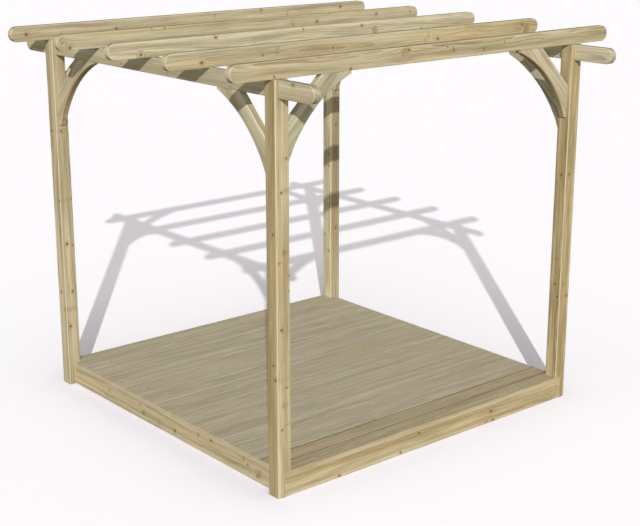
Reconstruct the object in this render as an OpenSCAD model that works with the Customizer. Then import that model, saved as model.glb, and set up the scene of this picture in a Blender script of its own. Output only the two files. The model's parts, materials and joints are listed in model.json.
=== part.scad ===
// Garden pergola of square timber posts standing round a boarded deck.
// Origin on the ground at the middle of the post rectangle, +X along the rafters,
// +Y along the beams, front at -Y, +Z up. All sizes are in millimetres.

/* [Footprint] */
// Distance over the outer faces of the posts, along the rafters
post_span_x = 2400; // [1800:10:3600]
// Distance over the outer faces of the posts, along the beams
post_span_y = 2364; // [1800:2:3600]

/* [Posts] */
// Side of the square posts
post_size = 90; // [80:1:120]
// Radius of the eased long edges of the posts
post_arris = 7; // [3:0.5:10]

/* [Beams] */
// Clear height from the ground to the underside of the beams
beam_underside = 2220; // [1900:5:2800]
// Thickness of the beams, which is also the width of the slots in the post heads
beam_thick = 45; // [30:1:50]
// Height of the beams
beam_height = 95; // [70:1:150]
// How far the beams run on past the outer faces of the posts
beam_overhang = 283; // [150:1:500]

/* [Rafters] */
// Number of rafters, the outer two over the posts
rafter_count = 5; // [3:1:9]
// Thickness of the rafters
rafter_thick = 45; // [30:1:60]
// Height of the rafters
rafter_height = 95; // [70:1:150]
// How far the rafters run on past the outer faces of the posts
rafter_overhang = 265; // [150:1:500]
// Radius of the eased edges of beams and rafters
timber_arris = 5; // [2:0.5:8]

/* [Braces] */
// Thickness of the arched braces
brace_thick = 45; // [25:1:60]
// Length that a brace reaches along the post and along the timber above it
brace_leg = 446; // [350:1:600]
// Length of each side of the open triangle behind a brace
brace_bevel = 246; // [120:1:280]
// Width of the square cut at each end of a brace
brace_nose = 14; // [8:1:25]
// Radius of the arched lower edge of a brace
brace_arc = 772; // [600:1:1200]
// Width of the bevel along the edges of a brace
brace_chamfer = 4; // [1:0.5:6]

/* [Deck] */
// Distance from the outer faces of the posts in to the deck, at the left and right sides
deck_setback = 45; // [20:1:60]
// Thickness of the joists in the deck frame
joist_thick = 45; // [30:1:60]
// Height of the joists
joist_height = 120; // [80:1:200]
// Radius of the eased edges of the joists
joist_arris = 3; // [1:0.5:6]
// Number of joists between the left and right joists
inner_joist_count = 4; // [2:1:8]
// Number of deck boards from front to back
board_count = 20; // [12:1:26]
// Thickness of the deck boards
board_thick = 28; // [18:1:40]
// Gap between neighbouring deck boards
board_gap = 2; // [1:0.5:8]
// Radius of the eased upper edges of the deck boards
board_arris = 2.5; // [1:0.5:6]

/* [Hidden] */
// How far a cut runs on past the face that it opens
overrun = 5;
$fn = 64;
// Facets of the large circle of the arches
arch_facets = 180;

SIDES = [["left", -1], ["right", 1]];
ENDS = [["front", -1], ["back", 1]];
CORNERS = [for (e = ENDS) for (s = SIDES) [str(e[0], "_", s[0]), s[1], e[1]]];

// Post centre lines, which the beams and the outer rafters lie over
post_x = (post_span_x - post_size) / 2;
post_y = (post_span_y - post_size) / 2;
// Inner faces of the posts
post_inner_x = post_span_x / 2 - post_size;
post_inner_y = post_span_y / 2 - post_size;

rafter_underside = beam_underside + beam_height;
rafter_pitch = 2 * post_y / (rafter_count - 1);
beam_length = post_span_y + 2 * beam_overhang;
rafter_length = post_span_x + 2 * rafter_overhang;

deck_length = post_span_x - 2 * deck_setback;
deck_depth = post_span_y;
deck_top = joist_height + board_thick;
joist_run = deck_depth - 2 * joist_thick;
joist_x = (deck_length - joist_thick) / 2;
joist_y = (deck_depth - joist_thick) / 2;
joist_pitch = 2 * joist_x / (inner_joist_count + 1);
board_width = (deck_depth - (board_count - 1) * board_gap) / board_count;
board_pitch = board_width + board_gap;

// The arch is a circle through the inner corners of both end cuts, centred on the diagonal
brace_reach = brace_leg + brace_nose;
brace_arc_spread = 2 * (brace_leg * brace_leg + brace_nose * brace_nose - brace_arc * brace_arc);
brace_centre = (brace_reach + sqrt(brace_reach * brace_reach - brace_arc_spread)) / 2;

POST_COLOUR = [0.75, 0.69, 0.53];
BEAM_COLOUR = [0.72, 0.67, 0.50];
RAFTER_COLOUR = [0.78, 0.72, 0.56];
BRACE_COLOUR = [0.74, 0.68, 0.51];
JOIST_COLOUR = [0.73, 0.66, 0.48];
BOARD_COLOUR = [0.66, 0.61, 0.50];

// Rectangle with round corners, centred
module rounded_section(width, height, radius) {
    square([width - 2 * radius, height], center = true);
    square([width, height - 2 * radius], center = true);
    for (x = [-1, 1])
        for (y = [-1, 1])
            translate([x * (width / 2 - radius), y * (height / 2 - radius)])
                circle(r = radius);
}

// Straight timber along X, centred, standing on z = 0
module straight_timber(length, thick, height, radius) {
    translate([-length / 2, 0, height / 2])
        rotate([90, 0, 90])
            linear_extrude(length)
                rounded_section(thick, height, radius);
}

// Half of a round timber end, on the +X side of the centre of its curve
module half_round_end(thick, height, radius) {
    rotate([90, 0, 0])
        rotate([0, 0, -90])
            rotate_extrude(angle = 180)
                intersection() {
                    rounded_section(height, thick, radius);
                    translate([0, -thick / 2])
                        square([height / 2, thick]);
                }
}

// Timber along X with half-round ends, centred, standing on z = 0
module round_ended_timber(length, thick, height, radius) {
    straight = length - height;
    straight_timber(straight, thick, height, radius);
    for (turn = [0, 180])
        rotate([0, 0, turn])
            translate([straight / 2, 0, height / 2])
                half_round_end(thick, height, radius);
}

// Post at one corner: the inner part of its foot is cut away to stand on the deck,
// and its head is slotted for the beam
module post(side, end) {
    color(POST_COLOUR)
        translate([side * post_x, end * post_y, 0])
            difference() {
                linear_extrude(rafter_underside)
                    rounded_section(post_size, post_size, post_arris);
                mirror([side > 0 ? 1 : 0, 0, 0])
                    translate([deck_setback - post_size / 2, -post_size / 2 - overrun, -overrun])
                        cube([post_size, post_size + 2 * overrun, deck_top + overrun]);
                translate([-beam_thick / 2, -post_size / 2 - overrun, beam_underside])
                    cube([beam_thick, post_size + 2 * overrun, beam_height + overrun]);
            }
}

module beam(side) {
    color(BEAM_COLOUR)
        translate([side * post_x, 0, beam_underside])
            rotate([0, 0, 90])
                round_ended_timber(beam_length, beam_thick, beam_height, timber_arris);
}

module rafter(place) {
    color(RAFTER_COLOUR)
        translate([0, (place - 1) * rafter_pitch - post_y, rafter_underside])
            round_ended_timber(rafter_length, rafter_thick, rafter_height, timber_arris);
}

// Outline of a brace: x away from the post, y down from the timber above
module brace_outline() {
    difference() {
        translate([0, -brace_leg])
            square(brace_leg);
        polygon([
            [-overrun, overrun],
            [brace_bevel + overrun, overrun],
            [-overrun, -brace_bevel - overrun]
        ]);
        translate([brace_centre, -brace_centre])
            circle(r = brace_arc, $fn = arch_facets);
    }
}

// Bevel along the two edges of the arch, cut as a cone at each face
module arch_bevels() {
    for (face = [0, 1])
        mirror([0, 0, face])
            translate([brace_centre, -brace_centre, brace_thick / 2 - brace_chamfer])
                cylinder(
                    h = 2 * brace_chamfer,
                    r1 = brace_arc,
                    r2 = brace_arc + 2 * brace_chamfer,
                    $fn = arch_facets
                );
}

// Bevel along the two edges of the straight side that faces the corner
module corner_bevels() {
    bevel_side = brace_chamfer * sqrt(2);
    for (face = [-1, 1])
        translate([brace_bevel / 2, -brace_bevel / 2, face * brace_thick / 2])
            rotate([0, 0, 45])
                rotate([45, 0, 0])
                    cube([2 * brace_bevel, bevel_side, bevel_side], center = true);
}

// Brace in the XZ plane, its post face at x = 0 and its top at z = 0
module brace_solid() {
    rotate([90, 0, 0])
        difference() {
            linear_extrude(brace_thick, center = true)
                brace_outline();
            arch_bevels();
            corner_bevels();
        }
}

// Brace between a post and the beam
module beam_brace(side, end) {
    color(BRACE_COLOUR)
        translate([side * post_x, end * post_inner_y, beam_underside])
            rotate([0, 0, -end * 90])
                brace_solid();
}

// Brace between a post and the outer rafter
module rafter_brace(side, end) {
    color(BRACE_COLOUR)
        translate([side * post_inner_x, end * post_y, rafter_underside])
            rotate([0, 0, side > 0 ? 180 : 0])
                brace_solid();
}

// Front and back joists run the whole length of the deck
module long_joist(end) {
    color(JOIST_COLOUR)
        translate([0, end * joist_y, 0])
            straight_timber(deck_length, joist_thick, joist_height, joist_arris);
}

// The other joists fit between the front and back joists
module cross_joist(x) {
    color(JOIST_COLOUR)
        translate([x, 0, 0])
            rotate([0, 0, 90])
                straight_timber(joist_run, joist_thick, joist_height, joist_arris);
}

module inner_joists() {
    for (i = [1:inner_joist_count])
        cross_joist(i * joist_pitch - joist_x);
}

// Section of a deck board with eased upper edges, centred and standing on y = 0
module board_section() {
    translate([-board_width / 2, 0])
        square([board_width, board_thick - board_arris]);
    translate([board_arris - board_width / 2, 0])
        square([board_width - 2 * board_arris, board_thick]);
    for (edge = [-1, 1])
        translate([edge * (board_width / 2 - board_arris), board_thick - board_arris])
            circle(r = board_arris);
}

module deck_board(place) {
    board_y = (board_width - deck_depth) / 2 + (place - 1) * board_pitch;
    color(BOARD_COLOUR)
        translate([-deck_length / 2, board_y, joist_height])
            rotate([90, 0, 90])
                linear_extrude(deck_length)
                    board_section();
}

for (c = CORNERS) {
    post(c[1], c[2]);
    beam_brace(c[1], c[2]);
    rafter_brace(c[1], c[2]);
}
for (s = SIDES) {
    beam(s[1]);
    cross_joist(s[1] * joist_x);
}
for (e = ENDS)
    long_joist(e[1]);
for (i = [1:rafter_count])
    rafter(i);
inner_joists();
for (i = [1:board_count])
    deck_board(i);
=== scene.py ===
"""Looks of the wooden pergola: softwood timbers, floor, light and camera."""

import json
import math

import bpy
from mathutils import Matrix, Vector


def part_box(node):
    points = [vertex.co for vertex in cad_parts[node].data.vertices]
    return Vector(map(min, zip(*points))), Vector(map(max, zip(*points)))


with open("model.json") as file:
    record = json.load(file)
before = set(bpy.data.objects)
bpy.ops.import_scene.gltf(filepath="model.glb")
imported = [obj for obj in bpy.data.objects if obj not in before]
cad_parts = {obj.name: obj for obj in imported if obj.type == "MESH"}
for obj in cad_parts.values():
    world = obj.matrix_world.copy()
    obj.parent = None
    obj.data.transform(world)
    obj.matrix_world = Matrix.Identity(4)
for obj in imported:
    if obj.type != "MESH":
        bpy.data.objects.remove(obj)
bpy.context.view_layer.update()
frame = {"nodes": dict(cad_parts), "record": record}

# Lengths are in metres. X runs to the right, Y to the back and Z up.
X_AXIS = Vector((1, 0, 0))
Y_AXIS = Vector((0, 1, 0))
Z_AXIS = Vector((0, 0, 1))
WHITE = (1.0, 1.0, 1.0, 1.0)
BLACK = (0.0, 0.0, 0.0, 1.0)

# Image and camera, fitted to the straight edges of the object
IMAGE_WIDTH = 640
SENSOR_WIDTH = 36.0
FOCAL_PIXELS = 1338.8
CAMERA_PLACE = (-5.355, -6.489, 3.299)
CAMERA_YAW = 0.698
CAMERA_PITCH = 0.2805

# Light: the sun travels this far along X and Y for each metre it falls
SUN_TRAVEL = (1.183, 1.548)
SUN_STRENGTH = 2.75
SUN_ANGLE = math.radians(0.6)
SUN_WAY = Vector((*SUN_TRAVEL, -1.0)).normalized()
# Sky: soft light that is strongest low down and from the front
SKY_LOW = 0.9
SKY_HIGH = 0.1
SKY_FRONT = 0.5

# Floor: what it throws back as light, and what the camera sees as white with a soft shadow
FLOOR_HALF = 60.0
FLOOR_DROP = 0.0004
FLOOR_CORNERS = ((-1, -1), (1, -1), (1, 1), (-1, 1))
FLOOR_BOUNCE = (0.15, 0.15, 0.15, 1.0)
FLOOR_TINT = (1.0, 0.975, 1.0, 1.0)
FLOOR_WHITE = 0.995
# How much of the light that lies on it the floor shows, by the deck and far off. A glow makes up the
# rest, so that open floor is white everywhere and the shadow grows paler with distance.
SHOWN_NEAR = 1.3
SHOWN_FAR = 0.96
SHOWN_REACH = 2.0
# Light on open floor from the sun and the whole sky, with the share of the low sky's light that
# falls on a level floor
LOW_SKY_SHARE = 1 / 3
SUN_ON_FLOOR = -SUN_WAY.z * SUN_STRENGTH / math.pi
LIGHT_ON_FLOOR = SUN_ON_FLOOR + SKY_HIGH + (SKY_LOW - SKY_HIGH) * LOW_SKY_SHARE
# Soft shade on the floor close to the deck, how far it reaches, and how far the rectangle that it
# surrounds is shifted to the right and to the back
CONTACT_TONE = (0.881, 0.898, 0.952, 1.0)
CONTACT_REACH = 0.13
CONTACT_SHIFT = -0.05
# Wider and fainter shade on the side away from the sun
WIDE_SHADE = 0.05
WIDE_REACH = 0.8
WIDE_SHIFT = 0.5


def linear(value):
    """Linear light of one 8-bit value that a picture shows."""
    share = value / 255
    if share <= 0.04045:
        return share / 12.92
    return ((share + 0.055) / 1.055) ** 2.4


def srgb(red, green, blue):
    """Linear colour from the three 8-bit values that a picture shows."""
    return Vector((linear(red), linear(green), linear(blue), 1.0))


# Sockets of the Mix node when it mixes colours
MIX_SHARE = 0
MIX_FIRST = 6
MIX_SECOND = 7
MIX_RESULT = 2
# Vector operations that give a number
GIVES_NUMBER = ("DOT_PRODUCT", "LENGTH")
# What a noise gives on average
NOISE_MEAN = 0.5


class Graph:
    """Adds nodes to a tree. Each input takes a plain value or the socket that feeds it."""

    def __init__(self, tree):
        self.tree = tree

    def feed(self, socket, value):
        if isinstance(value, bpy.types.NodeSocket):
            self.tree.links.new(value, socket)
        else:
            socket.default_value = value

    def add(self, kind, inputs=(), **settings):
        node = self.tree.nodes.new(kind)
        for name, value in settings.items():
            setattr(node, name, value)
        for name, value in dict(inputs).items():
            self.feed(node.inputs[name], value)
        return node

    def math(self, operation, *values, clamp=False):
        node = self.add("ShaderNodeMath", operation=operation, use_clamp=clamp)
        for socket, value in zip(node.inputs, values):
            self.feed(socket, value)
        return node.outputs[0]

    def vector(self, operation, *values):
        node = self.add("ShaderNodeVectorMath", operation=operation)
        for socket, value in zip(node.inputs, values):
            self.feed(socket, value)
        return node.outputs["Value" if operation in GIVES_NUMBER else "Vector"]

    def product(self, *values):
        total = values[0]
        for value in values[1:]:
            total = self.math("MULTIPLY", total, value)
        return total

    def sum(self, *terms, start=0.0):
        """Sum of (socket, weight, level) terms, each weight times how far the socket is over level."""
        total = start
        for socket, weight, level in terms:
            scaled = self.math("MULTIPLY", self.math("SUBTRACT", socket, level), weight)
            total = self.math("ADD", total, scaled)
        return total

    def length(self, first, second):
        square = self.math("MULTIPLY_ADD", first, first, self.math("MULTIPLY", second, second))
        return self.math("SQRT", square)

    def split(self, vector):
        return self.add("ShaderNodeSeparateXYZ", {"Vector": vector}).outputs

    def step(self, value, low, high):
        """Smooth step from 0 at low to 1 at high; low may be the larger."""
        inputs = {"Value": value, "From Min": low, "From Max": high}
        return self.add("ShaderNodeMapRange", inputs, interpolation_type="SMOOTHSTEP").outputs[0]

    def within(self, value, *steps):
        """Product of smooth steps, each given as the value where it is 0 and the value where it is 1."""
        return self.product(*[self.step(value, *ends) for ends in steps])

    def noise(self, point, scale, detail=2.0, roughness=0.5, output="Fac"):
        stretched = self.vector("MULTIPLY", point, scale)
        inputs = {"Vector": stretched, "Scale": 1.0, "Detail": detail, "Roughness": roughness}
        return self.add("ShaderNodeTexNoise", inputs).outputs[output]

    def drift(self, point, scale, reach):
        """Random shift at a point, by up to half of reach along each axis."""
        free = self.noise(point, scale, output="Color")
        centred = self.vector("SUBTRACT", free, (NOISE_MEAN, NOISE_MEAN, NOISE_MEAN))
        return self.vector("MULTIPLY", centred, reach)

    def mix(self, share, first, second, blend="MIX"):
        node = self.add("ShaderNodeMix", data_type="RGBA", blend_type=blend)
        self.feed(node.inputs[MIX_SHARE], share)
        self.feed(node.inputs[MIX_FIRST], first)
        self.feed(node.inputs[MIX_SECOND], second)
        return node.outputs[MIX_RESULT]

    def layer(self, colour, value, tone, steps, strength, blend="MIX"):
        """Colour with a tone laid over it where value is within the steps."""
        share = self.math("MULTIPLY", self.within(value, *steps), strength)
        return self.mix(share, colour, tone, blend)


# Sockets of the softwood group. Point is measured from the timber's middle line, with X along the grain.
WOOD_INPUTS = {
    "Point": "Vector",
    "Pith": "Vector",
    "End Grain": "Float",
    "Edge": "Float",
    "Branch Angle": "Float",
    "Branch Spread": "Float",
    "Knot Size": "Float",
    "Placed Small Knot": "Float",
    "Placed Broad Knot": "Float",
    "Contrast": "Float",
    "Light": "Color",
    "Dark": "Color",
}
WOOD_OUTPUTS = {"Color": "Color", "Roughness": "Float", "Height": "Float"}

# Long and short sways of the grain: how close they lie, and how far they shift it across the timber
LONG_SWAY = {"scale": (0.7, 2.2, 2.2), "reach": (0.0, 0.05, 0.05)}
SHORT_SWAY = {"scale": (4.0, 14.0, 14.0), "reach": (0.0, 0.008, 0.008)}

# Random branches: one to each length of spacing, counted from a start, with a factor on Knot Size
RANDOM_SMALL_KNOTS = {"spacing": 0.45, "start": 0.0, "size": 1.0}
RANDOM_BROAD_KNOTS = {"spacing": 0.66, "start": 31.7, "size": 2.4}
# How far a branch leans for each metre outward, and where it reaches its full radius
BRANCH_LEAN = 0.3
BRANCH_FULL = 0.03
# Least radius of a branch and the range over it, as shares, with the power that makes big ones rare,
# and the thinnest radius in metres
BRANCH_LEAST = 0.35
BRANCH_RANGE = 0.9
BRANCH_POWER = 2.0
BRANCH_THINNEST = 0.0002

# Growth rings: their width, by how many a knot pushes them aside and from how far round it, the part
# of a ring that is late wood with its mean, and how fast runs of dark and light years change
RING_WIDTH = 0.0055
RINGS_BENT = 0.8
SMALL_KNOT_BEND = (4.0, 0.8)
BROAD_KNOT_BEND = (2.2, 0.8)
LATE_WOOD = ((0.25, 0.85), (1.0, 0.93))
LATE_WOOD_MEAN = 0.3
YEARS_SCALE = 0.3

# Streaks along the grain, from broad bands to single fibres, with the clouds that tint the wood
BROAD_STREAKS = {"scale": (1.1, 17.0, 17.0), "detail": 3.0, "roughness": 0.55}
MIDDLE_STREAKS = {"scale": (3.5, 70.0, 70.0), "detail": 3.0, "roughness": 0.6}
FIBRES = {"scale": (22.0, 900.0, 900.0), "detail": 2.0, "roughness": 0.7}
CRACKS = {"scale": (2.5, 260.0, 260.0), "detail": 1.0}
CLOUDS = {"scale": (2.0, 6.0, 6.0)}
# How much each of them darkens the wood, with the years and the late wood, and the tone between
YEARS_WEIGHT = 1.2
BROAD_WEIGHT = 1.6
MIDDLE_WEIGHT = 1.2
LATE_WEIGHT = 0.4
FIBRE_WEIGHT = 0.4
MIDDLE_TONE = 0.5

# Heartwood: how far from the pith it ends, and how ragged clouds and streaks make that edge
HEART_STEP = (0.06, 0.03)
HEART_CLOUD = 0.06
HEART_STREAK = 0.03
HEART_STRENGTH = 0.5
HEARTWOOD = srgb(205, 179, 131)

# Layers of colour. The green one is where the preservative soaked in, the warm one where it didn't.
GREEN_PATCH = {
    "tone": (0.93, 1.0, 0.9, 1.0),
    "steps": ((0.45, 0.7),),
    "strength": 0.5,
    "blend": "MULTIPLY",
}
WARM_PATCH = {
    "tone": (1.04, 0.99, 0.92, 1.0),
    "steps": ((0.5, 0.32),),
    "strength": 0.5,
    "blend": "MULTIPLY",
}
# Broad knots have rings and a dark heart in a thin outline
BROAD_KNOT_HEART = {"tone": srgb(116, 90, 54), "steps": ((0.4, 0.12),), "strength": 0.6}
BROAD_KNOT_OUTLINE = {"tone": srgb(120, 94, 58), "steps": ((1.35, 1.1), (0.8, 1.05)), "strength": 0.25}
BROAD_KNOT_TONE = srgb(150, 122, 80)
BROAD_KNOT_INSIDE = (1.15, 0.85)
BROAD_KNOT_RINGS = 20.0
BROAD_KNOT_RING_DEPTH = 0.18
# Small knots have a brown core with a darker rim in a warm halo
SMALL_KNOT_HALO = {"tone": srgb(168, 138, 92), "steps": ((3.6, 1.0),), "strength": 0.4}
SMALL_KNOT_CORE = {"tone": srgb(108, 84, 50), "steps": ((1.1, 0.5),), "strength": 0.85}
SMALL_KNOT_RIM = {"tone": srgb(74, 54, 34), "steps": ((1.1, 0.85), (0.45, 0.8)), "strength": 0.35}

# Short drying cracks, which lie in patches
CRACK_STEP = (0.68, 0.74)
CRACK_PATCHES = (0.48, 0.6)
CRACK_STRENGTH = 0.45
CRACK_TONE = srgb(112, 92, 62)

# Cut ends are paler and show the rings, the long edges are rubbed in places, and deck boards carry a
# painted highlight in places along the front edge of their upper side.
CUT_TONE = srgb(226, 213, 182)
CUT_RING_TONE = srgb(190, 170, 130)
CUT_RING_STRENGTH = 0.6
PLACES_OF_WEAR_AND_HIGHLIGHT = (0.2, 0.6)
# Pale tone of rubbed edges, also laid on deck boards as a painted highlight
RUBBED_EDGE_AND_HIGHLIGHT = srgb(226, 214, 184)

# Gloss and relief
ROUGHNESS = 0.66
STREAK_ROUGHNESS = 0.3
WORN_ROUGHNESS = -0.08
LATE_RELIEF = 0.35
FIBRE_RELIEF = 0.6
KNOT_RELIEF = 0.7
CRACK_RELIEF = -1.4
BUMP_STRENGTH = 0.35
BUMP_DISTANCE = 0.0012
SPECULAR_LEVEL = 0.05


def random_knots(graph, section, given, spacing, start, size):
    """Distance to the nearest branch over that branch's radius. Branches start at the pith and
    lie one to each length of spacing, each with its own angle, size and lean."""
    along, across, up = section
    place = graph.math("ADD", graph.math("DIVIDE", along, spacing), start)
    cells = graph.add("ShaderNodeTexVoronoi", {"W": place, "Scale": 1.0}, voronoi_dimensions="1D")
    random = graph.add("ShaderNodeSeparateColor", {"Color": cells.outputs["Color"]}).outputs
    offset = graph.math("MULTIPLY", graph.math("SUBTRACT", place, cells.outputs["W"]), spacing)
    swing = graph.math("MULTIPLY", graph.math("SUBTRACT", random[0], NOISE_MEAN), given["Branch Spread"])
    angle = graph.math("ADD", given["Branch Angle"], swing)
    cosine = graph.math("COSINE", angle)
    sine = graph.math("SINE", angle)
    out = graph.math("MULTIPLY_ADD", across, cosine, graph.math("MULTIPLY", up, sine))
    side = graph.math("MULTIPLY", across, sine)
    side = graph.math("SUBTRACT", side, graph.math("MULTIPLY", up, cosine))
    lean = graph.math("SUBTRACT", offset, graph.math("MULTIPLY", out, BRANCH_LEAN))
    growth = graph.step(out, 0.0, BRANCH_FULL)
    over_least = graph.math("POWER", random[1], BRANCH_POWER)
    share = graph.math("MULTIPLY_ADD", over_least, BRANCH_RANGE, BRANCH_LEAST)
    radius = graph.product(share, growth, size, given["Knot Size"])
    radius = graph.math("MAXIMUM", radius, BRANCH_THINNEST)
    return graph.math("DIVIDE", graph.length(lean, side), radius)


def growth_rings(graph, radius, small_knot, broad_knot):
    """Rings counted from the pith, which knots push aside, and where they are late wood."""
    small_bend = graph.step(small_knot, *SMALL_KNOT_BEND)
    broad_bend = graph.step(broad_knot, *BROAD_KNOT_BEND)
    bend = graph.math("MAXIMUM", small_bend, broad_bend)
    rings = graph.math("MULTIPLY_ADD", bend, RINGS_BENT, graph.math("DIVIDE", radius, RING_WIDTH))
    return rings, graph.within(graph.math("FRACT", rings), *LATE_WOOD)


def runs_of_years(graph, rings):
    """Noise that makes some runs of rings darker than others."""
    inputs = {"W": rings, "Scale": YEARS_SCALE, "Detail": 1.0}
    return graph.add("ShaderNodeTexNoise", inputs, noise_dimensions="1D").outputs["Fac"]


def drying_cracks(graph, grain, cloud):
    """1 in the short cracks along the grain."""
    lines = graph.step(graph.noise(grain, **CRACKS), *CRACK_STEP)
    return graph.math("MULTIPLY", lines, graph.step(cloud, *CRACK_PATCHES))


def with_knots(graph, colour, small_knot, broad_knot):
    """Colour with both kinds of knots."""
    wave = graph.math("SINE", graph.math("MULTIPLY", broad_knot, BROAD_KNOT_RINGS))
    rings = graph.math("MULTIPLY_ADD", wave, BROAD_KNOT_RING_DEPTH, BROAD_KNOT_RING_DEPTH)
    colour = graph.layer(colour, broad_knot, BROAD_KNOT_TONE, (BROAD_KNOT_INSIDE,), rings)
    colour = graph.layer(colour, broad_knot, **BROAD_KNOT_HEART)
    colour = graph.layer(colour, broad_knot, **BROAD_KNOT_OUTLINE)
    for part in (SMALL_KNOT_HALO, SMALL_KNOT_CORE, SMALL_KNOT_RIM):
        colour = graph.layer(colour, small_knot, **part)
    return colour


def new_group(name, inputs, outputs):
    """Empty node group with these sockets."""
    tree = bpy.data.node_groups.new(name, "ShaderNodeTree")
    for way, sockets in (("INPUT", inputs), ("OUTPUT", outputs)):
        for socket, kind in sockets.items():
            tree.interface.new_socket(socket, in_out=way, socket_type=f"NodeSocket{kind}")
    return tree


def wood_structure(graph, given):
    """What the colour and the relief of the wood follow: swaying grain, knots, rings and streaks."""
    point = given["Point"]
    grain = graph.vector("ADD", point, graph.drift(point, **LONG_SWAY))
    grain = graph.vector("ADD", grain, graph.drift(point, **SHORT_SWAY))
    section = graph.split(graph.vector("SUBTRACT", grain, given["Pith"]))
    radius = graph.length(section[1], section[2])
    small_knot = random_knots(graph, section, given, **RANDOM_SMALL_KNOTS)
    small_knot = graph.math("MINIMUM", small_knot, given["Placed Small Knot"])
    broad_knot = random_knots(graph, section, given, **RANDOM_BROAD_KNOTS)
    broad_knot = graph.math("MINIMUM", broad_knot, given["Placed Broad Knot"])
    rings, late = growth_rings(graph, radius, small_knot, broad_knot)
    cloud = graph.noise(point, **CLOUDS)
    return {
        "radius": radius,
        "small_knot": small_knot,
        "broad_knot": broad_knot,
        "late": late,
        "years": runs_of_years(graph, rings),
        "broad": graph.noise(grain, **BROAD_STREAKS),
        "middle": graph.noise(grain, **MIDDLE_STREAKS),
        "fibre": graph.noise(grain, **FIBRES),
        "cloud": cloud,
        "crack": drying_cracks(graph, grain, cloud),
    }


def streaky_wood(graph, given, wood):
    """Colour of the streaks, with warm heartwood that ends raggedly round the pith."""
    streak = graph.sum(
        (wood["years"], YEARS_WEIGHT, NOISE_MEAN),
        (wood["broad"], BROAD_WEIGHT, NOISE_MEAN),
        (wood["middle"], MIDDLE_WEIGHT, NOISE_MEAN),
        (wood["late"], LATE_WEIGHT, LATE_WOOD_MEAN),
        (wood["fibre"], FIBRE_WEIGHT, NOISE_MEAN),
    )
    tone = graph.math("MULTIPLY_ADD", streak, given["Contrast"], MIDDLE_TONE, clamp=True)
    colour = graph.mix(tone, given["Light"], given["Dark"])
    heart = graph.mix(tone, HEARTWOOD, given["Dark"])
    reach = graph.sum(
        (wood["cloud"], HEART_CLOUD, NOISE_MEAN),
        (wood["broad"], HEART_STREAK, NOISE_MEAN),
        start=wood["radius"],
    )
    return graph.layer(colour, reach, heart, (HEART_STEP,), HEART_STRENGTH)


def wood_colour(graph, given, wood, wear_and_highlight):
    """Colour of the streaks, tints, cracks, knots, cut ends, rubbed edges and deck boards' painted
    highlight, laid over each other.
    """
    colour = streaky_wood(graph, given, wood)
    colour = graph.layer(colour, wood["cloud"], **GREEN_PATCH)
    colour = graph.layer(colour, wood["cloud"], **WARM_PATCH)
    colour = graph.mix(graph.math("MULTIPLY", wood["crack"], CRACK_STRENGTH), colour, CRACK_TONE)
    colour = with_knots(graph, colour, wood["small_knot"], wood["broad_knot"])
    cut = graph.mix(graph.math("MULTIPLY", wood["late"], CUT_RING_STRENGTH), CUT_TONE, CUT_RING_TONE)
    colour = graph.mix(given["End Grain"], colour, cut)
    return graph.mix(wear_and_highlight, colour, RUBBED_EDGE_AND_HIGHLIGHT)


def softwood_group():
    """Node group of solid softwood."""
    tree = new_group("softwood", WOOD_INPUTS, WOOD_OUTPUTS)
    graph = Graph(tree)
    given = graph.add("NodeGroupInput").outputs
    wood = wood_structure(graph, given)
    # Rubbed long edges, and on deck boards the painted highlight along the front edge
    wear_and_highlight = graph.math("MULTIPLY", given["Edge"], graph.step(wood["broad"], *PLACES_OF_WEAR_AND_HIGHLIGHT))
    roughness = graph.sum(
        (wood["middle"], STREAK_ROUGHNESS, 0.0),
        (wear_and_highlight, WORN_ROUGHNESS, 0.0),
        start=ROUGHNESS,
    )
    height = graph.sum(
        (wood["late"], LATE_RELIEF, 0.0),
        (wood["fibre"], FIBRE_RELIEF, 0.0),
        (graph.within(wood["small_knot"], *SMALL_KNOT_CORE["steps"]), KNOT_RELIEF, 0.0),
        (wood["crack"], CRACK_RELIEF, 0.0),
    )
    graph.add("NodeGroupOutput", {
        "Color": wood_colour(graph, given, wood, wear_and_highlight),
        "Roughness": roughness,
        "Height": height,
    })
    return tree


# Tones of the timber, each as its light and dark streaks
SAPWOOD = (srgb(221, 209, 178), srgb(162, 149, 117))
WARM_WOOD = (srgb(214, 197, 160), srgb(158, 138, 97))
DECK = (srgb(208, 196, 172), srgb(165, 153, 127))
FRONT_DECK = (srgb(202, 186, 156), srgb(152, 136, 104))

# Looks of each kind of timber. Warmth goes from 0 for sapwood to 1 for warm wood, knot_size is the
# usual radius of its random knots, the edge wear value says how far its long edges are rubbed and, for
# deck boards, how bright the painted highlight along their front edges is, end_paleness how pale its
# cut ends are, the top loss value how much painted shade darkens its upper side, and end_loss how much
# darker its ends are.
KINDS = {
    "post": {
        "warmth": 0.9,
        "lightness": 1.0,
        "contrast": 0.9,
        "knot_size": 0.005,
        "edge_wear_and_highlight": 0.75,
        "end_paleness": 0.3,
    },
    "beam": {
        "warmth": -0.2,
        "lightness": 1.05,
        "contrast": 0.8,
        "knot_size": 0.006,
        "edge_wear_and_highlight": 0.65,
        "top_painted_shade": 0.4,
        "end_loss": 0.2,
    },
    "rafter": {
        "warmth": 0.6,
        "lightness": 0.98,
        "contrast": 1.0,
        "knot_size": 0.005,
        "edge_wear_and_highlight": 0.5,
        "end_paleness": 0.55,
        "top_painted_shade": 0.28,
    },
    "brace": {
        "warmth": -0.3,
        "lightness": 1.05,
        "contrast": 1.1,
        "knot_size": 0.005,
        "edge_wear_and_highlight": 0.85,
    },
    "joist": {
        "warmth": 0.9,
        "lightness": 1.03,
        "contrast": 1.05,
        "knot_size": 0.005,
        "edge_wear_and_highlight": 0.4,
        "end_paleness": 0.2,
    },
    "board": {
        "warmth": 0.6,
        "lightness": 1.0,
        "contrast": 0.7,
        "knot_size": 0.0035,
        "edge_wear_and_highlight": 0.4,
        "end_paleness": 0.4,
    },
}
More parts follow.
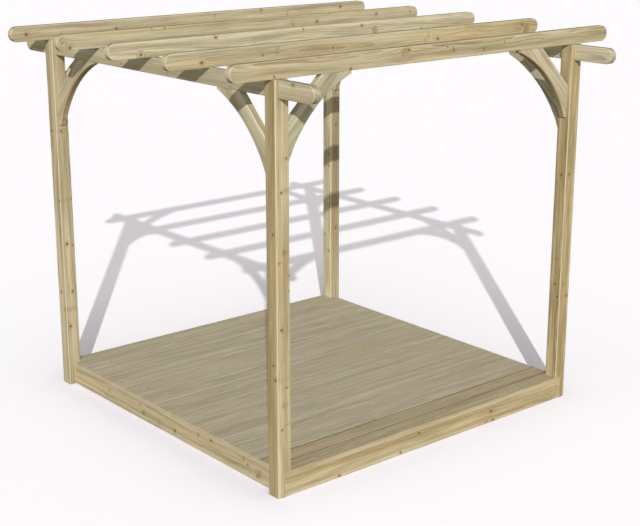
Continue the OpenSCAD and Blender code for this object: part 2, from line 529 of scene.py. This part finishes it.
# Timbers that differ from their kind. Here, beside_kind is how light one is beside the others, the
# front loss value how much painted shade darkens its front, and warmer_right how much warmer its right
# end is.
TIMBERS = {
    "front_right_post": {"warmth": 1.2, "beside_kind": 0.91, "contrast": 1.6},
    "back_left_post": {"warmth": 0.6, "beside_kind": 1.06, "front_painted_shade": 0.14},
    "back_right_post": {"warmth": 0.2, "beside_kind": 1.03, "contrast": 1.2, "front_painted_shade": 0.17},
    "right_beam": {"beside_kind": 1.06},
    "rafter_1": {"beside_kind": 0.93},
    "rafter_2": {"warmth": 0.4, "beside_kind": 0.98, "warmer_right": 0.75},
    "rafter_3": {"warmth": 0.0, "beside_kind": 1.06},
    "rafter_4": {"warmth": 0.2, "beside_kind": 0.97},
    "rafter_5": {"warmth": 0.2, "beside_kind": 0.91},
    "left_joist": {"warmth": 0.6, "beside_kind": 1.1},
    "front_left_beam_brace": {"beside_kind": 1.1},
    "front_left_rafter_brace": {"beside_kind": 0.86},
    "front_right_beam_brace": {"beside_kind": 0.86},
    "front_right_rafter_brace": {"beside_kind": 0.88},
}
# Values for kinds and timbers that give none of their own
PLAIN = {
    "end_paleness": 0.0,
    "top_painted_shade": 0.0,
    "end_loss": 0.0,
    "front_painted_shade": 0.0,
    "beside_kind": 1.0,
    "warmer_right": 0.0,
}
# Painted shade on the undersides of the braces, as a tint that multiplies their colour
UNDERSIDE_PAINTED_SHADE = (0.74, 0.65, 0.52, 1.0)

# Share of a unit normal along a direction, where a surface starts and where it fully counts as
# facing down, as facing up or to the front, as a cut end, and as one of the long edges
FACING_DOWN = (-0.15, -0.5)
FACING = (0.5, 0.95)
FACING_END = (0.4, 0.95)
LONG_EDGE = ((0.1, 0.4), (0.99, 0.9))
# The same for the upper side of a deck board and for its round edges
BOARD_TOP = (0.2, 0.6)
BOARD_ROUND = ((0.05, 0.3), (0.97, 0.85))

# Deck boards: widths of the painted highlight along the front edge of their upper side and of the
# painted shade along its back edge, by the gap, the shares of these widths that are fully highlit or
# shaded, how much light that painted shade takes, and how much painted shade the gaps lay on the round
# edges. The two boards at the front differ.
BOARD_HIGHLIGHT = 0.018
BOARD_GAP_SHADE = 0.008
FRONT_BOARD_GAP_SHADE = 0.013
FULLY_HIGHLIT = 1 / 3
FULLY_SHADED = 1 / 2
GAP_SHADE_LOSS = 0.3
FRONT_GAP_SHADE_LOSS = 0.7
GAP_EDGE_SHADE = 0.2
HIGHLIGHT_PATCH_SCALE = (1.2, 5.0, 5.0)
HIGHLIGHT_PATCHES = (0.45, 0.65)
FRONT_BOARDS = ("deck_board_1", "deck_board_2")

# Straight timbers that run from front to back
ALONG_Y = ("left_beam", "right_beam", "left_joist", "right_joist", "inner_joists")
# Distance between one timber's stretch of grain and the next one's, longer than any timber
GRAIN_STRIDE = 3.7

# Pith: how far it lies from a timber's middle line, turned on from timber to timber by the golden
# angle, and the angle over which branches show. One board in three has it above, the others below.
GOLDEN_ANGLE = 2.399963
PITH_AWAY = 0.06
BRANCH_SPREAD = 2.6
BOARD_PITH_SWING = 0.03
BOARD_BRANCH_SPREAD = 1.6
PITH_ABOVE_EVERY = 3
# Side of each post that the pith lies toward, along Y and against X
POST_PITH = {
    "front_left_post": (0.01, 0.045),
    "front_right_post": (-0.045, 0.01),
    "back_left_post": (0.04, -0.04),
    "back_right_post": (-0.045, -0.01),
}

# Knots that stand out, by timber and the axis that their face looks along: how far each lies
# along the face from the timber's middle, its height above the ground, and its radius
SMALL_KNOTS = {
    ("rafter_1", 1): (
        (-0.67, 2.325, 0.008), (-0.25, 2.39, 0.009), (0.1, 2.365, 0.008), (0.35, 2.35, 0.006),
    ),
    ("rafter_2", 1): (
        (-1.23, 2.345, 0.01), (-0.82, 2.35, 0.005), (-0.31, 2.355, 0.007),
        (0.54, 2.345, 0.008), (1.31, 2.38, 0.009), (1.34, 2.33, 0.007),
    ),
    ("rafter_3", 1): (
        (-1.25, 2.335, 0.011), (-0.73, 2.395, 0.009), (0.42, 2.385, 0.008), (0.54, 2.33, 0.008),
    ),
    ("rafter_4", 1): (
        (-1.38, 2.33, 0.01), (-0.71, 2.4, 0.006), (0.52, 2.36, 0.009),
        (1.06, 2.38, 0.009), (1.39, 2.375, 0.005),
    ),
    ("rafter_5", 1): (
        (-1.36, 2.36, 0.01), (-0.71, 2.35, 0.008), (0.48, 2.4, 0.009), (1.22, 2.38, 0.01),
    ),
    ("left_beam", 0): (
        (-1.3, 2.305, 0.008),
    ),
    ("front_joist", 1): (
        (-0.76, 0.01, 0.008), (-0.28, 0.02, 0.008), (-0.13, 0.1, 0.008),
        (0.5, 0.075, 0.01), (0.52, 0.01, 0.009),
    ),
    ("left_joist", 0): (
        (0.25, 0.05, 0.009), (-0.1, 0.04, 0.009), (-0.35, 0.1, 0.007), (-0.48, 0.105, 0.007),
        (-0.8, 0.1, 0.007), (-0.84, 0.075, 0.006), (-0.93, 0.04, 0.009),
    ),
    ("front_left_post", 1): (
        (0.025, 1.905, 0.006), (-0.01, 1.73, 0.007), (-0.025, 1.35, 0.006), (0.04, 1.275, 0.006),
        (0.04, 1.19, 0.006), (-0.015, 0.98, 0.008), (0.015, 0.645, 0.007), (-0.015, 0.405, 0.006),
    ),
    ("front_left_post", 0): (
        (-0.025, 0.695, 0.01), (-0.01, 0.775, 0.008), (-0.015, 1.505, 0.007),
    ),
    ("front_right_post", 1): (
        (0.015, 0.7, 0.009), (-0.01, 0.78, 0.007), (-0.01, 1.505, 0.008),
    ),
    ("front_right_post", 0): (
        (-0.025, 0.7, 0.01), (-0.005, 0.78, 0.008), (-0.01, 1.5, 0.008),
    ),
    ("back_left_post", 1): (
        (-0.01, 1.73, 0.008), (0.04, 1.28, 0.007), (-0.015, 0.98, 0.009),
        (0.01, 0.65, 0.008), (-0.02, 0.41, 0.008),
    ),
    ("back_left_post", 0): (
        (0.02, 1.73, 0.008), (-0.035, 1.275, 0.008), (0.005, 0.645, 0.008), (-0.035, 0.53, 0.008),
    ),
    ("back_right_post", 1): (
        (0.005, 1.505, 0.008), (0.005, 0.705, 0.009),
    ),
    ("back_right_post", 0): (
        (-0.02, 1.285, 0.008), (-0.02, 1.195, 0.007), (0.02, 0.65, 0.006), (-0.025, 0.525, 0.007),
    ),
}
BROAD_KNOTS = {
    ("rafter_1", 1): (
        (-0.28, 2.38, 0.02),
    ),
    ("rafter_2", 1): (
        (0.46, 2.365, 0.018), (1.35, 2.35, 0.02),
    ),
    ("rafter_3", 1): (
        (0.53, 2.355, 0.02),
    ),
    ("rafter_4", 1): (
        (-1.43, 2.365, 0.028),
    ),
    ("front_joist", 1): (
        (0.46, 0.025, 0.018), (1.05, 0.05, 0.022),
    ),
    ("left_joist", 0): (
        (0.65, 0.08, 0.018), (0.29, 0.1, 0.018), (-0.95, 0.055, 0.018),
    ),
    ("front_left_post", 1): (
        (0.025, 1.735, 0.013), (0.01, 1.405, 0.013), (0.005, 0.97, 0.01), (0.0, 0.545, 0.014),
    ),
}
# Ratio for timbers without such knots, how fast a branch thins on its way into the timber, how the
# grain's way round it fades with distance, and what makes the knots ragged
NO_KNOT = 99.0
BRANCH_TAPER = 0.15
PUSH_POWER = -2.0
KNOT_RAGGED = {"scale": (70.0, 70.0, 70.0), "reach": (0.014, 0.014, 0.014)}


def grain_frame(name):
    """Rows: along the grain, through the thickness, and across both."""
    if name.endswith("_beam_brace"):
        grain = Z_AXIS + (Y_AXIS if name.startswith("front") else -Y_AXIS)
        thick = X_AXIS
    elif name.endswith("_rafter_brace"):
        grain = Z_AXIS + (X_AXIS if "left" in name else -X_AXIS)
        thick = Y_AXIS
    elif name.endswith("_post"):
        grain = Z_AXIS
        thick = Y_AXIS
    elif name in ALONG_Y:
        grain = Y_AXIS
        thick = X_AXIS
    else:
        grain = X_AXIS
        thick = Y_AXIS
    grain = grain.normalized()
    return Matrix((grain, thick, grain.cross(thick)))


def placed_knots(graph, place, name, knots):
    """Distance to the nearest placed knot of a timber over that knot's radius, and how far the
    placed knots push the grain aside, as water flows round a post."""
    low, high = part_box(name)
    middle = (low + high) / 2
    nearest = NO_KNOT
    push = (0.0, 0.0, 0.0)
    for axis in (0, 1):
        taper = Vector((1.0, 1.0, 1.0))
        taper[axis] = BRANCH_TAPER
        for along, height, radius in knots.get((name, axis), ()):
            centre = Vector((middle.x + along, middle.y + along, height))
            centre[axis] = low[axis]
            offset = graph.vector("MULTIPLY", graph.vector("SUBTRACT", place, centre), taper)
            ratio = graph.math("DIVIDE", graph.vector("LENGTH", offset), radius)
            nearest = graph.math("MINIMUM", nearest, ratio)
            share = graph.math("POWER", graph.math("MAXIMUM", ratio, 1.0), PUSH_POWER)
            push = graph.vector("ADD", push, graph.vector("MULTIPLY", offset, share))
    return nearest, push


def pith_of(name, kind, number):
    """Place of the pith across the timber, with the angle and spread of the branches that show."""
    spin = number * GOLDEN_ANGLE
    if kind == "post":
        return Vector((0.0, *POST_PITH[name])), 0.0, 2 * math.pi
    if kind == "board":
        above = -1.0 if number % PITH_ABOVE_EVERY else 1.0
        pith = Vector((0.0, BOARD_PITH_SWING * math.cos(spin), above * PITH_AWAY))
        return pith, -above * math.pi / 2, BOARD_BRANCH_SPREAD
    pith = Vector((0.0, math.cos(spin), math.sin(spin))) * PITH_AWAY
    return pith, spin + math.pi, BRANCH_SPREAD


def streak_tones(warmth, lightness):
    """Light and dark streak colours between sapwood and warm wood."""
    return [sap.lerp(warm, warmth) * lightness for sap, warm in zip(SAPWOOD, WARM_WOOD)]


def wood_tones(graph, name, kind, look, place, up):
    """Light and dark streak colours of one timber. The deck boards are greyer on top."""
    lightness = look["lightness"] * look["beside_kind"]
    tones = streak_tones(look["warmth"], lightness)
    if look["warmer_right"]:
        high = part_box(name)[1]
        right = graph.step(graph.split(place)[0], 0.0, high.x / 2)
        right_tones = streak_tones(look["warmth"] + look["warmer_right"], lightness)
        tones = [graph.mix(right, *pair) for pair in zip(tones, right_tones)]
    if kind == "board":
        # Deck boards take greyer tones on their upper side
        on_top = graph.step(up, *FACING)
        top_tones = FRONT_DECK if name in FRONT_BOARDS else DECK
        tones = [graph.mix(on_top, *pair) for pair in zip(tones, top_tones)]
    return tones


def board_edges(graph, name, look, point, up):
    """Painted highlight along the front edge of a board's upper side, and painted shade along its back
    edge and on its round edges by the gaps. The front boards have no highlight and a wider, darker
    shade."""
    low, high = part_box(name)
    half_width = (high.y - low.y) / 2
    at_front = name in FRONT_BOARDS
    gap_shade_width = FRONT_BOARD_GAP_SHADE if at_front else BOARD_GAP_SHADE
    gap_shade_loss = FRONT_GAP_SHADE_LOSS if at_front else GAP_SHADE_LOSS

    across = graph.split(point)[1]
    top = graph.step(up, *BOARD_TOP)
    from_back = graph.math("SUBTRACT", half_width, across)
    # Painted shade along the back edge of the upper side, by the gap, and on the round edges by the gaps
    gap_shaded = graph.math("MULTIPLY", top, graph.step(from_back, gap_shade_width, gap_shade_width * FULLY_SHADED))
    loss = graph.sum((gap_shaded, gap_shade_loss, 0.0), (graph.within(up, *BOARD_ROUND), GAP_EDGE_SHADE, 0.0))
    if at_front:
        return 0.0, loss
    # Painted highlight along the front edge of the upper side, in patches
    from_front = graph.math("ADD", half_width, across)
    wear_and_highlight = graph.step(from_front, BOARD_HIGHLIGHT, BOARD_HIGHLIGHT * FULLY_HIGHLIT)
    patch = graph.step(graph.noise(point, HIGHLIGHT_PATCH_SCALE), *HIGHLIGHT_PATCHES)
    return graph.product(wear_and_highlight, top, patch, look["edge_wear_and_highlight"]), loss


def timber_edges(graph, look, normal, thick, facing, at_end):
    """Wear of a timber's long edges, painted shade on its upper side and front, and how much darker its
    ends are.
    """
    sideways = graph.math("ABSOLUTE", graph.vector("DOT_PRODUCT", normal, thick))
    wear_and_highlight = graph.math("MULTIPLY", graph.within(sideways, *LONG_EDGE), look["edge_wear_and_highlight"])
    # Painted shade on the upper side and on the front
    upward = graph.step(facing[2], *FACING)
    forward = graph.step(facing[1], *[-share for share in FACING])
    loss = graph.sum(
        (upward, look["top_painted_shade"], 0.0),
        (forward, look["front_painted_shade"], 0.0),
        (at_end, look["end_loss"], 0.0),
    )
    return wear_and_highlight, loss


def wood_point(graph, name, number, place, push):
    """Point in the wood, from the timber's middle and along its grain, on a stretch of its own."""
    low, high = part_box(name)
    turn = grain_frame(name)
    stretch = Vector((number * GRAIN_STRIDE, 0.0, 0.0))
    return graph.add("ShaderNodeMapping", {
        "Vector": graph.vector("SUBTRACT", place, push),
        "Location": stretch - turn @ ((low + high) / 2),
        "Rotation": turn.to_euler("XYZ"),
    }).outputs[0]


def finish_wood(graph, colour, roughness, height):
    """Feed the material's shader with colour, roughness and the bump of the grain."""
    bump = graph.add("ShaderNodeBump", {
        "Height": height,
        "Strength": BUMP_STRENGTH,
        "Distance": BUMP_DISTANCE,
    })
    shader = graph.tree.nodes["Principled BSDF"]
    graph.feed(shader.inputs["Base Color"], colour)
    graph.feed(shader.inputs["Roughness"], roughness)
    graph.feed(shader.inputs["Normal"], bump.outputs[0])
    shader.inputs["Specular IOR Level"].default_value = SPECULAR_LEVEL


def wood_material(name, kind, number, group):
    """Softwood of one timber, with its own stretch of grain and its own place in the log."""
    look = {**PLAIN, **KINDS[kind], **TIMBERS.get(name, {})}
    material = bpy.data.materials.new(f"wood_{name}")
    material.use_nodes = True
    graph = Graph(material.node_tree)
    place = graph.add("ShaderNodeTexCoord").outputs["Object"]
    normal = graph.add("ShaderNodeNewGeometry").outputs["Normal"]
    facing = graph.split(normal)

    ragged = graph.vector("ADD", place, graph.drift(place, **KNOT_RAGGED))
    small_knot, small_push = placed_knots(graph, ragged, name, SMALL_KNOTS)
    broad_knot, broad_push = placed_knots(graph, ragged, name, BROAD_KNOTS)
    point = wood_point(graph, name, number, place, graph.vector("ADD", small_push, broad_push))

    grain, thick = grain_frame(name)[:2]
    endways = graph.math("ABSOLUTE", graph.vector("DOT_PRODUCT", normal, grain))
    at_end = graph.step(endways, *FACING_END)
    if kind == "board":
        wear_and_highlight, loss = board_edges(graph, name, look, point, facing[2])
    else:
        wear_and_highlight, loss = timber_edges(graph, look, normal, thick, facing, at_end)

    pith, branch_angle, branch_spread = pith_of(name, kind, number)
    light, dark = wood_tones(graph, name, kind, look, place, facing[2])
    wood = graph.add("ShaderNodeGroup", node_tree=group)
    for socket, value in (
        ("Point", point),
        ("Pith", pith),
        ("End Grain", graph.math("MULTIPLY", at_end, look["end_paleness"])),
        ("Edge", wear_and_highlight),
        ("Branch Angle", branch_angle),
        ("Branch Spread", branch_spread),
        ("Knot Size", look["knot_size"]),
        ("Placed Small Knot", small_knot),
        ("Placed Broad Knot", broad_knot),
        ("Contrast", look["contrast"]),
        ("Light", light),
        ("Dark", dark),
    ):
        graph.feed(wood.inputs[socket], value)

    # Painted shade on upper sides, fronts and along the deck's gaps, and the darker cut ends, as a mix
    # toward black
    colour = graph.mix(loss, wood.outputs["Color"], BLACK)
    # Painted shade on the undersides of the braces
    if kind == "brace":
        colour = graph.mix(graph.step(facing[2], *FACING_DOWN), colour, UNDERSIDE_PAINTED_SHADE, "MULTIPLY")
    finish_wood(graph, colour, wood.outputs["Roughness"], wood.outputs["Height"])
    return material


def dress_timbers():
    group = softwood_group()
    kinds = {part["node"]: part["material_slot"] for part in frame["record"]["subparts"]}
    for number, name in enumerate(sorted(frame["nodes"])):
        timber = frame["nodes"][name]
        timber.data.materials.clear()
        timber.data.materials.append(wood_material(name, kinds[name], number, group))


def background_seen(graph):
    """1 for rays that look at the background: from the camera, a reflection or through glass."""
    path = graph.add("ShaderNodeLightPath").outputs
    seen = graph.math("MAXIMUM", path["Is Camera Ray"], path["Is Glossy Ray"])
    return graph.math("MAXIMUM", seen, path["Is Transmission Ray"])


def distance_from_posts(graph, shift=0.0):
    """Distance of a place on the floor from the rectangle that the posts stand round, or from that
    rectangle shifted to the right and to the back."""
    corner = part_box("back_right_post")[1]
    place = graph.split(graph.add("ShaderNodeTexCoord").outputs["Object"])
    away = []
    for axis in (0, 1):
        from_middle = graph.math("ABSOLUTE", graph.math("SUBTRACT", place[axis], shift))
        past = graph.math("SUBTRACT", from_middle, corner[axis])
        away.append(graph.math("MAXIMUM", past, 0.0))
    return graph.length(*away)


def shade_near_posts(graph, shift, reach):
    """1 within the rectangle of the posts, fading out with distance from it."""
    distance = distance_from_posts(graph, shift)
    return graph.math("EXPONENT", graph.math("DIVIDE", distance, -reach))


def floor_tint(graph):
    """White of the floor with its soft shade."""
    contact = shade_near_posts(graph, CONTACT_SHIFT, CONTACT_REACH)
    contact_tint = [white * tone for white, tone in zip(FLOOR_TINT, CONTACT_TONE)]
    tint = graph.mix(contact, FLOOR_TINT, contact_tint)
    wide = shade_near_posts(graph, WIDE_SHIFT, WIDE_REACH)
    return graph.mix(graph.math("MULTIPLY", wide, WIDE_SHADE), tint, BLACK)


def floor_material():
    """Floor that is white to the camera apart from its shade, and throws back little light."""
    material = bpy.data.materials.new("floor_white")
    material.use_nodes = True
    graph = Graph(material.node_tree)
    nodes = material.node_tree.nodes
    nodes.remove(nodes["Principled BSDF"])
    seen = background_seen(graph)
    tint = floor_tint(graph)
    far = graph.step(distance_from_posts(graph), 0.0, SHOWN_REACH)
    shown = graph.math("MULTIPLY_ADD", far, SHOWN_FAR - SHOWN_NEAR, SHOWN_NEAR)
    rest = graph.math("MULTIPLY_ADD", shown, -LIGHT_ON_FLOOR, FLOOR_WHITE)
    white = graph.mix(1.0, tint, shown, "MULTIPLY")
    matt = graph.add("ShaderNodeBsdfDiffuse", {"Color": graph.mix(seen, FLOOR_BOUNCE, white)})
    glow = graph.add("ShaderNodeEmission", {"Color": tint, "Strength": graph.product(seen, rest)})
    both = graph.add("ShaderNodeAddShader", {0: matt.outputs[0], 1: glow.outputs[0]})
    graph.feed(nodes["Material Output"].inputs["Surface"], both.outputs[0])
    return material


def add_floor():
    mesh = bpy.data.meshes.new("floor")
    corners = [(x * FLOOR_HALF, y * FLOOR_HALF, -FLOOR_DROP) for x, y in FLOOR_CORNERS]
    mesh.from_pydata(corners, [], [(0, 1, 2, 3)])
    mesh.materials.append(floor_material())
    floor = bpy.data.objects.new("floor", mesh)
    bpy.context.scene.collection.objects.link(floor)


def sky_strength(graph):
    """Light from each direction of the sky: more from low down, and there more from the front."""
    way = graph.split(graph.add("ShaderNodeTexCoord").outputs["Generated"])
    low = graph.math("SUBTRACT", 1.0, way[2])
    front = graph.math("MULTIPLY_ADD", way[1], -SKY_FRONT, 1.0)
    return graph.math("MULTIPLY_ADD", graph.product(low, front), SKY_LOW - SKY_HIGH, SKY_HIGH)


def add_sun():
    lamp = bpy.data.lights.new("sun", "SUN")
    lamp.energy = SUN_STRENGTH
    lamp.angle = SUN_ANGLE
    sun = bpy.data.objects.new("sun", lamp)
    sun.rotation_euler = SUN_WAY.to_track_quat("-Z", "Y").to_euler()
    bpy.context.scene.collection.objects.link(sun)


def add_sky():
    """Soft studio light, behind a backdrop that is seen as white."""
    world = bpy.data.worlds.new("studio")
    world.use_nodes = True
    world.node_tree.nodes.clear()
    bpy.context.scene.world = world
    graph = Graph(world.node_tree)
    sky = graph.add("ShaderNodeBackground", {"Color": WHITE, "Strength": sky_strength(graph)})
    backdrop = graph.add("ShaderNodeBackground", {"Color": WHITE, "Strength": 1.0})
    seen = background_seen(graph)
    blend = graph.add("ShaderNodeMixShader", {0: seen, 1: sky.outputs[0], 2: backdrop.outputs[0]})
    output = graph.add("ShaderNodeOutputWorld")
    graph.feed(output.inputs["Surface"], blend.outputs[0])


def add_camera():
    lens = bpy.data.cameras.new("camera")
    lens.sensor_fit = "HORIZONTAL"
    lens.sensor_width = SENSOR_WIDTH
    lens.lens = FOCAL_PIXELS / IMAGE_WIDTH * SENSOR_WIDTH
    camera = bpy.data.objects.new("camera", lens)
    camera.location = CAMERA_PLACE
    camera.rotation_euler = (math.pi / 2 - CAMERA_PITCH, 0.0, -CAMERA_YAW)
    bpy.context.scene.collection.objects.link(camera)
    bpy.context.scene.camera = camera


bpy.context.scene.view_settings.view_transform = "Standard"
add_camera()
add_sun()
add_sky()
add_floor()
dress_timbers()
